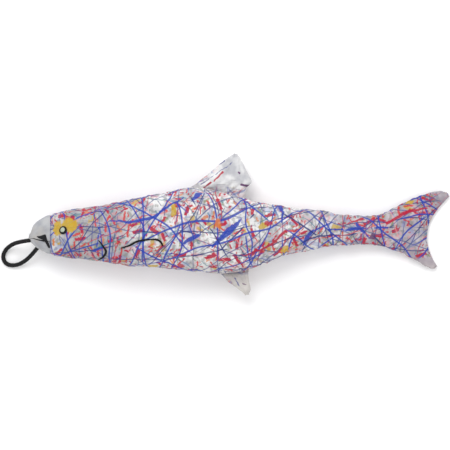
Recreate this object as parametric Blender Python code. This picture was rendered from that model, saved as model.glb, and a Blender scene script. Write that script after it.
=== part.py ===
"""A stuffed cloth carp with padded fins and an elastic loop at its mouth, lying on its right side.

X runs from the nose to the tail, Y from the belly to the back, and Z up from the surface that it lies
on, so the fish's left side faces up. Every cloth skin is a thin shell over its own stuffing, and the
left and right panels meet at one seam that runs round the outline of the fish.
"""

import math

import bmesh
import bpy
from mathutils import Matrix, Vector

# Overall sizes, in metres
FISH_LENGTH = 0.315  # nose to the tips of the tail
BODY_DEPTH = 0.062  # scale of the body's outline from back to belly
BODY_THICKNESS = 0.042  # side to side at the thickest place
TAIL_LENGTH = 0.0755  # from the bend in the tail stalk to the longer tip
TAIL_FLARE = 0.019  # how far each lobe of the tail spreads past the stalk
TAIL_NOTCH = 0.0122  # depth of the fork between the two lobes
DORSAL_ROOT = (-0.0371, 0.003)  # where the back fin starts and ends along the body
DORSAL_HEIGHT = 0.0244
ANAL_ROOT = (-0.0145, 0.0066)  # where the belly fin starts and ends along the body
ANAL_HEIGHT = 0.0154
FIN_THICKNESS = 0.008  # the padded fins at their thickest
FIN_DROOP = 0.004  # how far a fin's outer edge hangs below the seam

# Cloth, thread and cord
CLOTH = 0.0008
GAP = 0.0003  # clearance between pieces that touch
FIN_CLEARANCE = 0.0006  # room under a fin's root, so that it can flop
BEND_CLEARANCE = 0.0004  # room before the round root of the tail's stuffing
THREAD = 0.0008  # diameter of an embroidered line
PATCH = 0.0006  # thickness of the mouth patch
CORD = 0.0032  # diameter of the elastic
FULLNESS = 0.84  # below 1, the sides are rounder than an ellipse

# Places along the body, as shares of the length
SNOUT_END = 0.0476  # where the plain snout is sewn to the printed body
TAIL_BEND = 0.7603
MOUTH_ANGLE = math.radians(112)  # on the snout's section, from the seam on the back
MOUTH_OPENING = math.radians(8)
STITCH_RISE = (0.330, 0.400)  # the underside rises by the stitches' height before this place

EYE = (0.0253, -0.0043)  # measured from the nose, as are the lines and the patch below
EYE_RADIUS = 0.0021
EYE_THREAD = 0.0011  # diameter of the ring round the eye

# The body's outline and section. Each row is a place along the length, the back and the belly as shares
# of BODY_DEPTH, then half the thickness and the seam's height as shares of half BODY_THICKNESS.
BODY = (
    (0.0000, -0.113, -0.195, 0.08, 0.676),
    (0.0036, -0.063, -0.226, 0.21, 0.678),
    (0.0083, -0.006, -0.250, 0.30, 0.682),
    (0.0160, 0.035, -0.287, 0.37, 0.690),
    (0.0320, 0.085, -0.331, 0.467, 0.710),
    (0.0476, 0.121, -0.366, 0.543, 0.735),
    (0.0810, 0.166, -0.395, 0.667, 0.800),
    (0.1667, 0.221, -0.444, 0.857, 0.890),
    (0.2357, 0.294, -0.492, 0.952, 0.915),
    (0.3214, 0.374, -0.529, 1.000, 0.915),
    (0.3810, 0.442, -0.553, 1.000, 0.900),
    (0.4524, 0.397, -0.589, 0.967, 0.870),
    (0.4880, 0.337, -0.577, 0.920, 0.838),
    (0.5357, 0.273, -0.515, 0.830, 0.780),
    (0.6024, 0.221, -0.385, 0.657, 0.676),
    (0.6476, 0.192, -0.331, 0.552, 0.614),
    (0.6930, 0.161, -0.282, 0.448, 0.557),
    (0.7333, 0.113, -0.248, 0.371, 0.510),
    (0.7603, 0.106, -0.248, 0.357, 0.480),
)

# The tail from the bend to the fork. Each row is the reach and drop of its lower edge, the reach and rise
# of its upper edge, as shares of TAIL_LENGTH and TAIL_FLARE, the share of TAIL_NOTCH, half the thickness
# as a share of the stalk's, and the seam's height as a share of the height at the bend.
TAIL = (
    (0.000, 0.000, 0.000, 0.000, 0.00, 1.00, 1.00),
    (0.172, 0.005, 0.172, 0.010, 0.00, 0.97, 0.86),
    (0.291, 0.040, 0.291, 0.085, 0.00, 0.92, 0.75),
    (0.397, 0.155, 0.397, 0.215, 0.04, 0.86, 0.66),
    (0.503, 0.300, 0.517, 0.455, 0.16, 0.80, 0.60),
    (0.622, 0.525, 0.636, 0.690, 0.37, 0.74, 0.55),
    (0.728, 0.755, 0.768, 0.880, 0.66, 0.65, 0.49),
    (0.808, 0.955, 0.900, 0.985, 0.86, 0.48, 0.40),
    (0.861, 0.965, 0.980, 0.925, 0.98, 0.28, 0.30),
    (0.877, 0.865, 1.000, 0.785, 1.00, 0.11, 0.24),
)

# A fin from its root outwards. Each row is the run and rise of its front edge, the run and rise of its back
# edge, as shares of the root's length and the fin's height, half the thickness as a share of half
# FIN_THICKNESS, and how much of the body's curve the row still follows.
DORSAL_FIN = (
    (0.000, 0.000, 0.000, 0.000, 0.25, 1.0),
    (0.090, 0.110, 0.040, 0.270, 0.75, 0.6),
    (0.202, 0.255, 0.140, 0.490, 1.00, 0.2),
    (0.327, 0.415, 0.107, 0.680, 1.00, 0.0),
    (0.476, 0.630, 0.030, 0.930, 0.90, 0.0),
    (0.638, 0.840, -0.035, 1.144, 0.70, 0.0),
    (0.756, 0.965, -0.090, 1.276, 0.40, 0.0),
    (0.810, 1.000, -0.125, 1.316, 0.16, 0.0),
)
ANAL_FIN = (
    (0.000, 0.000, 0.000, 0.000, 0.25, 1.0),
    (0.142, 0.208, 0.014, 0.260, 0.70, 0.5),
    (0.346, 0.474, 0.038, 0.571, 0.85, 0.0),
    (0.569, 0.700, 0.066, 0.805, 0.80, 0.0),
    (0.735, 0.864, 0.066, 0.994, 0.60, 0.0),
    (0.858, 0.987, 0.010, 1.155, 0.20, 0.0),
)

# Lines embroidered on each side of the fish, seen from its left, and the patch at its mouth
GILL_STITCH = (
    (0.0517, -0.0118), (0.0537, -0.0140), (0.0557, -0.0168), (0.0574, -0.0196),
    (0.0572, -0.0215), (0.0562, -0.0231), (0.0543, -0.0250), (0.0513, -0.0266),
)
PECTORAL_STITCH = (
    (0.0686, -0.0178), (0.0720, -0.0167), (0.0757, -0.0154), (0.0805, -0.0128),
    (0.0855, -0.0118), (0.0900, -0.0113), (0.0949, -0.0113), (0.0983, -0.0130),
    (0.1000, -0.0162),
)
MOUTH_PATCH = (
    (0.0055, -0.0086), (0.0097, -0.0103), (0.0115, -0.0078),
    (0.0130, -0.0120), (0.0105, -0.0126),
)

# The elastic loop, out of the mouth, down to the surface and back under the jaw
LOOP = (
    (-0.1594, -0.0122, 0.0138), (-0.1625, -0.0127, 0.0126), (-0.1660, -0.0134, 0.0103),
    (-0.1695, -0.0144, 0.0076), (-0.1728, -0.0161, 0.0051), (-0.1758, -0.0186, 0.0031),
    (-0.1778, -0.0217, 0.0020), (-0.1784, -0.0250, 0.0017), (-0.1773, -0.0282, 0.0017),
    (-0.1747, -0.0303, 0.0017), (-0.1710, -0.0309, 0.0019), (-0.1668, -0.0301, 0.0027),
    (-0.1633, -0.0284, 0.0041), (-0.1602, -0.0262, 0.0060), (-0.1572, -0.0234, 0.0083),
    (-0.1552, -0.0212, 0.0102), (-0.1537, -0.0195, 0.0118),
)
LOOP_POINTS = 36

COLOURS = {
    "printed_cloth": ((0.62, 0.63, 0.72), 0.85),
    "plain_cloth": ((0.62, 0.63, 0.66), 0.85),
    "stuffing": ((0.90, 0.89, 0.86), 0.95),
    "black_thread": ((0.015, 0.015, 0.017), 0.55),
    "mouth_cloth": ((0.012, 0.012, 0.016), 0.70),
    "eye_cloth": ((0.50, 0.53, 0.45), 0.70),
    "elastic": ((0.010, 0.010, 0.011), 0.50),
}

LEFT, RIGHT = 1, -1
SIDES = (("left", LEFT), ("right", RIGHT))


def smooth_row(rows, place):
    """A row between the given ones, on a smooth curve through them. Place runs from 0 to len(rows) - 1."""
    i = min(int(place), len(rows) - 2)
    t = place - i
    before, start, end, after = (rows[min(max(i + k, 0), len(rows) - 1)] for k in (-1, 0, 1, 2))
    return [
        0.5 * (2 * b + (c - a) * t + (2 * a - 5 * b + 4 * c - d) * t**2 + (3 * b - a - 3 * c + d) * t**3)
        for a, b, c, d in zip(before, start, end, after)
    ]


def shares(count, start=0.0, end=1.0):
    return [start + (end - start) * i / (count - 1) for i in range(count)]


class Section:
    """One cross-section of a padded piece: two edges on the seam, and how far it swells between them."""

    def __init__(self, first, second, swell, bow=(0, 0, 0), floor=0.0):
        self.first = Vector(first)
        self.second = Vector(second)
        self.swell = swell
        self.bow = Vector(bow)
        self.floor = floor

    def point(self, angle, inset=0.0, lift=0.0):
        """A point at this angle from the first edge, up over the left side, this far under the surface."""
        middle = (self.first + self.second) / 2
        half = (self.first - self.second) / 2
        reach = half.normalized() * max(half.length - inset, 0.2 * half.length)
        height = max(self.swell - inset, 0.3 * self.swell)
        across = math.cos(angle)
        rise = math.copysign(abs(math.sin(angle)) ** FULLNESS, math.sin(angle))
        place = middle + reach * across + self.bow * (1 - across**2)
        place.z = max(place.z + height * rise + lift, self.floor + inset)
        return place

    def skin(self, start, end, steps, lift):
        """A closed ring round the cloth between two angles: along the outside, and back along the inside."""
        cloth = min(CLOTH, 0.45 * self.swell)
        angles = shares(steps + 1, start, end)
        outside = [self.point(angle, 0.0, lift) for angle in angles]
        inside = [self.point(angle, cloth, lift) for angle in reversed(angles)]
        return outside + inside

    def core(self, steps, inset):
        return [self.point(2 * math.pi * i / steps, inset) for i in range(steps)]


def along(share):
    return (share - 0.5) * FISH_LENGTH


def body_row(share):
    """Back, belly, half thickness and seam height of the body, in metres, at this share of its length."""
    i = max(k for k in range(len(BODY) - 1) if BODY[k][0] <= max(share, BODY[0][0]))
    place = i + (share - BODY[i][0]) / (BODY[i + 1][0] - BODY[i][0])
    back, belly, half, seam = smooth_row(BODY, min(max(place, 0), len(BODY) - 1))[1:]
    side = BODY_THICKNESS / 2
    return back * BODY_DEPTH, belly * BODY_DEPTH, half * side, seam * side


def underside(share):
    """Height of the flattened underside: on the surface, or over the stitches that lie under the head."""
    start, end = STITCH_RISE
    t = min(max((end - share) / (end - start), 0), 1)
    return (THREAD + 2 * GAP) * t * t * (3 - 2 * t)


def body_section(share):
    back, belly, half, seam = body_row(share)
    x = along(share)
    return Section((x, back, seam), (x, belly, seam), half, floor=underside(share))


def tail_section(place):
    low_reach, drop, high_reach, rise, notch, half, seam = smooth_row(TAIL, place)
    back, belly, stalk, height = body_row(TAIL_BEND)
    x = along(TAIL_BEND)
    z = height * seam
    return Section(
        (x + high_reach * TAIL_LENGTH, back + rise * TAIL_FLARE, z),
        (x + low_reach * TAIL_LENGTH, belly - drop * TAIL_FLARE, z),
        half * stalk,
        bow=(-notch * TAIL_NOTCH, 0, 0),
    )


def fin_root(root, side):
    """The two ends of a fin's root, just off the back (side 1) or the belly (side -1)."""
    ends = []
    for x in root:
        back, belly, _, seam = body_row(x / FISH_LENGTH + 0.5)
        y = back + FIN_CLEARANCE if side > 0 else belly - FIN_CLEARANCE
        ends.append(Vector((x, y, seam)))
    return ends


def fin_section(rows, root, height, side, place):
    front_run, front_rise, back_run, back_rise, half, follow = smooth_row(rows, place)
    front, back = fin_root(root, side)
    length = root[1] - root[0]
    (middle,) = fin_root(((root[0] + root[1]) / 2,), side)
    curve = (middle - (front + back) / 2) * follow
    drop = -FIN_DROOP * max(front_rise, 0)
    return Section(
        front + Vector((front_run * length, side * front_rise * height, drop)),
        back + Vector((back_run * length, side * back_rise * height, drop)),
        half * FIN_THICKNESS / 2,
        bow=curve,
    )


def surface_height(x, y, side):
    """Height of the surface this far from the nose, on the fish's left side (1) or its right (-1)."""
    section = body_section(x / FISH_LENGTH)
    across = (y - (section.first.y + section.second.y) / 2) / (section.first.y - section.second.y) * 2
    return section.point(side * math.acos(max(-1, min(1, across)))).z


def on_surface(x, y, side, lift):
    """A point this far over the cloth, measured square to it, and the direction. X is from the nose."""
    step = 0.0005
    z = surface_height(x, y, side)
    along_x = Vector((2 * step, 0, surface_height(x + step, y, side) - surface_height(x - step, y, side)))
    along_y = Vector((0, 2 * step, surface_height(x, y + step, side) - surface_height(x, y - step, side)))
    normal = along_x.cross(along_y).normalized() * side
    return Vector((along(x / FISH_LENGTH), y, z + side * GAP / 2)) + normal * lift, normal


def material(name):
    found = bpy.data.materials.get(name)
    if found:
        return found
    colour, roughness = COLOURS[name]
    made = bpy.data.materials.new(name)
    made.use_nodes = True
    shader = made.node_tree.nodes["Principled BSDF"]
    shader.inputs["Base Color"].default_value = (*colour, 1.0)
    shader.inputs["Roughness"].default_value = roughness
    shader.inputs["Metallic"].default_value = 0.0
    made.diffuse_color = (*colour, 1.0)
    return made


def add_object(name, data, finish, parts, joint=None):
    made = bpy.data.objects.new(name, data)
    data.materials.append(material(finish))
    parts.objects.link(made)
    if joint:
        made.parent = joint
        made.matrix_parent_inverse = joint.matrix_world.inverted()
    return made


def finish_mesh(name, shape):
    shape.normal_update()
    bmesh.ops.recalc_face_normals(shape, faces=shape.faces)
    if shape.calc_volume(signed=True) < 0:
        bmesh.ops.reverse_faces(shape, faces=shape.faces)
    mesh = bpy.data.meshes.new(name)
    shape.to_mesh(mesh)
    shape.free()
    mesh.shade_smooth()
    mesh.set_sharp_from_angle(angle=math.radians(50))
    return mesh


def close_ring(shape, row, hollow):
    """Faces across a ring, each between two points on one side and the two that face them on the other."""
    half = len(row) // 2
    if hollow:
        pairs = [(row[i], row[-1 - i]) for i in range(half)]
    else:
        pairs = [(row[i], row[-i]) for i in range(half + 1)]
    for (a, b), (c, d) in zip(pairs, pairs[1:]):
        shape.faces.new(list(dict.fromkeys((a, c, d, b))))


def loft(name, rings, hollow):
    """A closed solid through rings of equal counts. A hollow ring is a strip of cloth, out and back."""
    shape = bmesh.new()
    rows = [[shape.verts.new(point) for point in ring] for ring in rings]
    count = len(rows[0])
    for near, far in zip(rows, rows[1:]):
        for i in range(count):
            j = (i + 1) % count
            shape.faces.new((near[i], near[j], far[j], far[i]))
    for row in (rows[0], rows[-1]):
        close_ring(shape, row, hollow)
    return finish_mesh(name, shape)


def add_panel(name, sections, start, end, steps, side, finish, parts, joint=None):
    lift = side * GAP / 2
    rings = [section.skin(start, end, steps, lift) for section in sections]
    return add_object(name, loft(name, rings, True), finish, parts, joint)


def add_panels(name, sections, steps, finish, parts, joint=None):
    """The left and the right cloth panel of a padded piece."""
    for word, side in SIDES:
        add_panel(f"{name}_panel_{word}", sections, 0, side * math.pi, steps, side, finish, parts, joint)


def add_stuffing(name, sections, steps, parts, joint=None):
    rings = [section.core(steps, CLOTH + GAP) for section in sections]
    return add_object(f"{name}_stuffing", loft(name, rings, False), "stuffing", parts, joint)


def tail_root_radius():
    return body_row(TAIL_BEND)[2] - CLOTH - GAP


def torso_end():
    """Where the torso stops short of the tail's round root."""
    return TAIL_BEND - (tail_root_radius() + BEND_CLEARANCE) / FISH_LENGTH


def make_torso(parts):
    seam_gap = GAP / 2 / FISH_LENGTH
    body = [body_section(share) for share in shares(27, SNOUT_END + seam_gap, torso_end())]
    add_panels("body", body, 12, "printed_cloth", parts)
    snout_places = (0.0, 0.0036, 0.0083, 0.016, 0.025, 0.0365, SNOUT_END - seam_gap)
    snout = [body_section(share) for share in snout_places]
    mouth = MOUTH_ANGLE - MOUTH_OPENING / 2
    for word, side in SIDES:
        add_panel(f"snout_panel_{word}", snout, 0, side * mouth, 8, side, "plain_cloth", parts)
    jaw_start = MOUTH_ANGLE + MOUTH_OPENING / 2
    add_panel("jaw_panel", snout, jaw_start, 2 * math.pi - jaw_start, 10, 0, "plain_cloth", parts)
    add_stuffing("body", snout[1:] + body, 24, parts)


def make_tail(parts, joint):
    rows = [tail_section(place) for place in shares(19, 0, len(TAIL) - 1)]
    add_panels("tail", rows, 14, "printed_cloth", parts, joint)
    radius = tail_root_radius()
    root = tail_section(0)
    inside = []
    for angle in (6, 30, 60):
        turn = math.radians(angle)
        back = Vector((-radius * math.cos(turn), 0, 0))
        swell = radius * math.sin(turn) + CLOTH + GAP
        inside.append(Section(root.first + back, root.second + back, swell))
    add_stuffing("tail", inside + rows[:-4], 28, parts, joint)


def make_fin(name, rows, root, height, side, parts, joint):
    places = shares(2 * len(rows) - 1, 0, len(rows) - 1)
    sections = [fin_section(rows, root, height, side, place) for place in places]
    add_panels(name, sections, 8, "plain_cloth", parts, joint)
    add_stuffing(name, sections[2:-2], 16, parts, joint)


def add_tube(name, points, radii, depth, finish, parts, joint=None):
    curve = bpy.data.curves.new(name, "CURVE")
    curve.dimensions = "3D"
    curve.bevel_depth = depth
    curve.bevel_resolution = 2
    curve.use_fill_caps = True
    spline = curve.splines.new("POLY")
    spline.points.add(len(points) - 1)
    for place, point, radius in zip(spline.points, points, radii):
        place.co = (*point, 1)
        place.radius = radius
    return add_object(name, curve, finish, parts, joint)


def make_stitches(parts):
    for name, line in (("gill_stitch", GILL_STITCH), ("pectoral_stitch", PECTORAL_STITCH)):
        for word, side in SIDES:
            places = [smooth_row(line, place) for place in shares(2 * len(line) - 1, 0, len(line) - 1)]
            lifted = [on_surface(x, y, side, GAP + THREAD / 2)[0] for x, y in places]
            add_tube(f"{name}_{word}", lifted, [1] * len(lifted), THREAD / 2, "black_thread", parts)


def make_eyes(parts):
    for word, side in SIDES:
        place, normal = on_surface(*EYE, side, GAP + EYE_THREAD / 2 + 0.0001)
        turn = normal.to_track_quat("Z", "Y").to_matrix().to_4x4()
        bpy.ops.mesh.primitive_torus_add(
            major_radius=EYE_RADIUS, minor_radius=EYE_THREAD / 2, major_segments=24, minor_segments=8
        )
        ring = bpy.context.active_object.data
        bpy.data.objects.remove(bpy.context.active_object)
        ring.transform(Matrix.Translation(place) @ turn)
        ring.shade_smooth()
        add_object(f"eye_ring_{word}", ring, "black_thread", parts)
        shape = bmesh.new()
        bmesh.ops.create_uvsphere(shape, u_segments=16, v_segments=8, radius=1)
        radius = EYE_RADIUS - EYE_THREAD / 2 - GAP
        shape.transform(Matrix.Translation(place) @ turn @ Matrix.Diagonal((radius, radius, EYE_THREAD / 2, 1)))
        add_object(f"eye_centre_{word}", finish_mesh("eye_centre", shape), "eye_cloth", parts)


def make_mouth(parts):
    """A black patch on each side, over the corner where the snout and the jaw meet."""
    for word, side in SIDES:
        rings = []
        for lift in (2 * GAP, 2 * GAP + PATCH):
            rings.append([on_surface(x, y, side, lift)[0] for x, y in MOUTH_PATCH])
        mesh = loft("mouth_patch", rings, False)
        add_object(f"mouth_patch_{word}", mesh, "mouth_cloth", parts)


def make_loop(parts, joint):
    """The elastic, with round ends that turn where they meet the mouth and the jaw."""
    points = [Vector(smooth_row(LOOP, place)) for place in shares(LOOP_POINTS, 0, len(LOOP) - 1)]
    radii = [1.0] * len(points)
    for share in (0.5, 0.87, 0.995):
        for end, inner in ((0, 3), (-1, -4)):
            centre = Vector(LOOP[end])
            outward = (Vector(LOOP[end]) - points[inner]).normalized()
            points.insert(0 if end == 0 else len(points), centre + outward * share * CORD / 2)
            radii.insert(0 if end == 0 else len(radii), math.sqrt(1 - share**2))
    add_tube("elastic_loop", points, radii, CORD / 2, "elastic", parts, joint)


def add_joint(name, place, parts):
    """An empty on a joint's axis, which carries the pieces that turn about it."""
    made = bpy.data.objects.new(name, None)
    made.location = place
    made.empty_display_size = 0.01
    parts.objects.link(made)
    bpy.context.view_layer.update()
    return made


def main():
    for old in list(bpy.data.objects):
        bpy.data.objects.remove(old)
    parts = bpy.data.collections.new("stuffed_carp")
    bpy.context.scene.collection.children.link(parts)
    make_torso(parts)
    make_stitches(parts)
    make_eyes(parts)
    make_mouth(parts)
    _, _, _, seam = body_row(TAIL_BEND)
    make_tail(parts, add_joint("tail_bend", (along(TAIL_BEND), 0, seam), parts))
    for name, rows, root, height, side in (
        ("dorsal_fin", DORSAL_FIN, DORSAL_ROOT, DORSAL_HEIGHT, 1),
        ("anal_fin", ANAL_FIN, ANAL_ROOT, ANAL_HEIGHT, -1),
    ):
        joint = add_joint(f"{name}_root", fin_root(root, side)[0], parts)
        make_fin(name, rows, root, height, side, parts, joint)
    make_loop(parts, add_joint("loop_swing", LOOP[0], parts))


main()
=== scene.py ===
import math

import bmesh
import bpy
import numpy as np
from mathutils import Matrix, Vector, noise
from mathutils.bvhtree import BVHTree


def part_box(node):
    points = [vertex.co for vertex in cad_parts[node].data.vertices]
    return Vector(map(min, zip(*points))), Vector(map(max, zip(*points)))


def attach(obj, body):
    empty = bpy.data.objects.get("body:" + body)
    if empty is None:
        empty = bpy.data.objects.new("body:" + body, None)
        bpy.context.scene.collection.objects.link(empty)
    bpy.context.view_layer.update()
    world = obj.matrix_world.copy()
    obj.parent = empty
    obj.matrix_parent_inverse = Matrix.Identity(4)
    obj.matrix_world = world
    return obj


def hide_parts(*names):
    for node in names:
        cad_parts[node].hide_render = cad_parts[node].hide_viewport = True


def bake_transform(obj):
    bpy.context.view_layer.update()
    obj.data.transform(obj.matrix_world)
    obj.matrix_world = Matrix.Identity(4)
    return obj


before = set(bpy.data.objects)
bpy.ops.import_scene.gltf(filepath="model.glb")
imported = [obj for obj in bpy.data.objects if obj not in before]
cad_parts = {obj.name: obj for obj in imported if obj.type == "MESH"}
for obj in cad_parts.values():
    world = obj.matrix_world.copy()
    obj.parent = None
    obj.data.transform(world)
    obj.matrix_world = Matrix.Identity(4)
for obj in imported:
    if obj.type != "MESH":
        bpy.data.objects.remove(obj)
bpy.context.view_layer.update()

print("frame loaded:", len(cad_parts), "nodes")


# camera, floor and light

view = {
    "x": -0.01125,
    "y": -0.0005,
    "height": 3.2,
    "across": 0.3375,  # width of the picture at the height of the fish's seam
    "seamHeight": 0.018,
}
light = {
    "sky": 0.95,
    "key": 12.0,
    "fill": 2.0,
    "floorTint": (0.95, 0.95, 0.955),
}


def makeCamera():
    data = bpy.data.cameras.new("camera")
    data.sensor_width = 36
    data.lens = 36 * (view["height"] - view["seamHeight"]) / view["across"]
    data.clip_start = 0.05
    data.clip_end = 30
    camera = bpy.data.objects.new("camera", data)
    camera.location = (view["x"], view["y"], view["height"])
    bpy.context.scene.collection.objects.link(camera)
    bpy.context.scene.camera = camera


def makeLamp(name, place, aim, size, power):
    data = bpy.data.lights.new(name, "AREA")
    data.size = size
    data.energy = power
    lamp = bpy.data.objects.new(name, data)
    lamp.location = place
    lamp.rotation_euler = (Vector(aim) - Vector(place)).to_track_quat("-Z", "Y").to_euler()
    bpy.context.scene.collection.objects.link(lamp)


def makeStudio():
    scene = bpy.context.scene
    scene.view_settings.view_transform = "Standard"
    world = bpy.data.worlds.new("studio")
    scene.world = world
    world.use_nodes = True
    world.node_tree.nodes["Background"].inputs["Color"].default_value = (1, 1, 1, 1)
    world.node_tree.nodes["Background"].inputs["Strength"].default_value = light["sky"]
    makeLamp("keyLamp", (-0.35, 0.95, 1.25), (0, 0, 0.01), 0.9, light["key"])
    makeLamp("fillLamp", (0.5, -1.1, 1.3), (0, 0, 0.01), 1.2, light["fill"])
    floor = meshObject("floor", [(-3, -3, 0), (3, -3, 0), (3, 3, 0), (-3, 3, 0)], [(0, 1, 2, 3)])
    paper = Finish("paleFloor", {"Roughness": 0.9})
    soft = paper.add("ShaderNodeTexNoise", {}, {"Scale": 3.0, "Detail": 2.0})
    colour = paper.mix(soft, light["floorTint"], [c * 0.99 for c in light["floorTint"]])
    paper.paint(colour)
    floor.data.materials.append(paper.material)


# shader values

class Value:
    # one shader value: a sum written on it adds its nodes
    def __init__(self, finish, socket):
        self.finish = finish
        self.socket = socket

    def work(self, operation, *values):
        kinds = [v.socket.type for v in values if isinstance(v, Value)]
        vector = any(k in ("VECTOR", "RGBA") for k in kinds)
        kind = "ShaderNodeVectorMath" if vector else "ShaderNodeMath"
        return self.finish.add(kind, {"operation": operation}, dict(enumerate(values)))

    def __add__(self, other):
        return self.work("ADD", self, other)

    def __radd__(self, other):
        return self.work("ADD", other, self)

    def __sub__(self, other):
        return self.work("SUBTRACT", self, other)

    def __rsub__(self, other):
        return self.work("SUBTRACT", other, self)

    def __mul__(self, other):
        return self.work("MULTIPLY", self, other)

    def __rmul__(self, other):
        return self.work("MULTIPLY", other, self)

    def __neg__(self):
        return self.work("MULTIPLY", self, -1.0)

    def __abs__(self):
        return self.work("ABSOLUTE", self)

    def dot(self, other):
        settings = {"operation": "DOT_PRODUCT"}
        return self.finish.add("ShaderNodeVectorMath", settings, {0: self, 1: other}, "Value")

    def length(self):
        return self.finish.add("ShaderNodeVectorMath", {"operation": "LENGTH"}, {0: self}, "Value")

    def times(self, vector):
        settings = {"operation": "SCALE"}
        return self.finish.add("ShaderNodeVectorMath", settings, {0: vector, "Scale": self})

    def clamp(self):
        return self.finish.add("ShaderNodeClamp", {}, {"Value": self})

    def top(self, other):
        return self.work("MAXIMUM", self, other)

    def smooth(self, low, high):
        # 0 below low, 1 above high, and a soft step between them
        settings = {"interpolation_type": "SMOOTHSTEP"}
        values = {"Value": self, "From Min": low, "From Max": high}
        return self.finish.add("ShaderNodeMapRange", settings, values)


class Finish:
    # a material, and the one method that adds a node to it
    def __init__(self, name, constants):
        self.material = bpy.data.materials.new(name)
        self.material.use_nodes = True
        self.tree = self.material.node_tree
        self.shader = self.tree.nodes["Principled BSDF"]
        for socket, value in constants.items():
            self.shader.inputs[socket].default_value = value

    def add(self, kind, settings, sockets, out=0):
        node = self.tree.nodes.new(kind)
        for setting, value in settings.items():
            setattr(node, setting, value)
        for socket, value in sockets.items():
            target = node.inputs[socket]
            if isinstance(value, Value):
                self.tree.links.new(value.socket, target)
            elif target.type == "RGBA":
                target.default_value = (*value[:3], 1.0)
            elif target.type == "VECTOR" and not hasattr(value, "__len__"):
                target.default_value = (value, value, value)
            else:
                target.default_value = value
        if isinstance(out, tuple):
            return [Value(self, node.outputs[name]) for name in out]
        return Value(self, node.outputs[out])

    def mix(self, factor, under, over):
        return self.add("ShaderNodeMix", {"data_type": "RGBA"}, {0: factor, 6: under, 7: over}, 2)

    def noise(self, place, size, detail=2.0, out="Fac"):
        # size is the width of a patch, in the units of place
        values = {"Vector": place, "Scale": 1 / size, "Detail": detail}
        return self.add("ShaderNodeTexNoise", {}, values, out)

    def place(self):
        # where a point lies on its flat cloth, in millimetres: along, across, and 0 or 1 for the side
        found = self.add("ShaderNodeAttribute", {"attribute_name": "clothPlace"}, {}, "Vector")
        return found * 1000.0

    def share(self):
        return self.add("ShaderNodeAttribute", {"attribute_name": "printShare"}, {}, "Fac")

    def paint(self, colour, height=None, depth=0.0001, strength=0.5, roughness=None):
        self.tree.links.new(colour.socket, self.shader.inputs["Base Color"])
        if roughness is not None:
            self.tree.links.new(roughness.socket, self.shader.inputs["Roughness"])
        if height is not None:
            bump = self.add("ShaderNodeBump", {}, {
                "Height": height, "Distance": depth, "Strength": strength,
            })
            self.tree.links.new(bump.socket, self.shader.inputs["Normal"])
        return self.material


def tint(code):
    # a colour as people write it for a screen, as light
    parts = [int(code[i:i + 2], 16) / 255 for i in (0, 2, 4)]
    return [c / 12.92 if c < 0.04045 else ((c + 0.055) / 1.055) ** 2.4 for c in parts]


# meshes

def meshObject(name, points, faces):
    mesh = bpy.data.meshes.new(name)
    mesh.from_pydata([tuple(p) for p in points], [], faces)
    mesh.update()
    made = bpy.data.objects.new(name, mesh)
    bpy.context.scene.collection.objects.link(made)
    return made


def faceOutward(made, sharp=55):
    shape = bmesh.new()
    shape.from_mesh(made.data)
    bmesh.ops.recalc_face_normals(shape, faces=shape.faces)
    shape.to_mesh(made.data)
    shape.free()
    made.data.shade_smooth()
    made.data.set_sharp_from_angle(angle=math.radians(sharp))
    return made


def gridFaces(rows, columns, closed=False, start=0, flip=False):
    faces = []
    for i in range(rows - 1):
        for j in range(columns if closed else columns - 1):
            k = (j + 1) % columns
            corners = (i * columns + j, i * columns + k, (i + 1) * columns + k, (i + 1) * columns + j)
            corners = corners[::-1] if flip else corners
            faces.append(tuple(c + start for c in corners))
    return faces


def outward(grid, closed=False):
    # unit vectors off a grid of points, rows along and columns across
    along = np.gradient(grid, axis=0)
    if closed:
        across = np.roll(grid, -1, axis=1) - np.roll(grid, 1, axis=1)
    else:
        across = np.gradient(grid, axis=1)
    normal = np.cross(across, along)
    return normal / np.maximum(np.linalg.norm(normal, axis=2, keepdims=True), 1e-12)


def finer(grid, axis):
    # twice as many rows, with each new one on a smooth curve through its neighbours
    grid = np.moveaxis(grid, axis, 0)
    first = 2 * grid[:1] - grid[1:2]
    last = 2 * grid[-1:] - grid[-2:-1]
    wide = np.concatenate([first, grid, last])
    middles = (9 * (wide[1:-2] + wide[2:-1]) - wide[:-3] - wide[3:]) / 16
    made = np.empty((2 * len(grid) - 1, *grid.shape[1:]))
    made[0::2] = grid
    made[1::2] = middles
    return np.moveaxis(made, 0, axis)


def ripple(points, size, seed=0.0):
    # smooth noise from -1 to 1 at each point of a grid
    flat = points.reshape(-1, 3) / size + seed
    return np.array([noise.noise(Vector(p)) for p in flat]).reshape(points.shape[:-1])


def clothPiece(name, grid, normals, place, share, thickness):
    # a cloth with real thickness: the outer grid, an inner one under it, and the rims between them
    rows, columns = grid.shape[:2]
    inner = grid - normals * thickness[..., None]
    points = np.concatenate([grid.reshape(-1, 3), inner.reshape(-1, 3)])
    points[:, 2] = np.maximum(points[:, 2], 0.00005)  # nothing goes under what the fish lies on
    under = rows * columns
    faces = gridFaces(rows, columns) + gridFaces(rows, columns, start=under, flip=True)
    rim = [i * columns for i in range(rows)]
    rim += [(rows - 1) * columns + j for j in range(1, columns)]
    rim += [i * columns + columns - 1 for i in range(rows - 2, -1, -1)]
    rim += [j for j in range(columns - 2, 0, -1)]
    for a, b in zip(rim, rim[1:] + rim[:1]):
        faces.append((a, b, b + under, a + under))
    made = faceOutward(meshObject(name, points, faces))
    places = made.data.attributes.new("clothPlace", "FLOAT_VECTOR", "POINT")
    places.data.foreach_set("vector", np.concatenate([place, place]).astype(np.float32).ravel())
    shares = made.data.attributes.new("printShare", "FLOAT", "POINT")
    shares.data.foreach_set("value", np.concatenate([share, share]).astype(np.float32).ravel())
    return made


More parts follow.
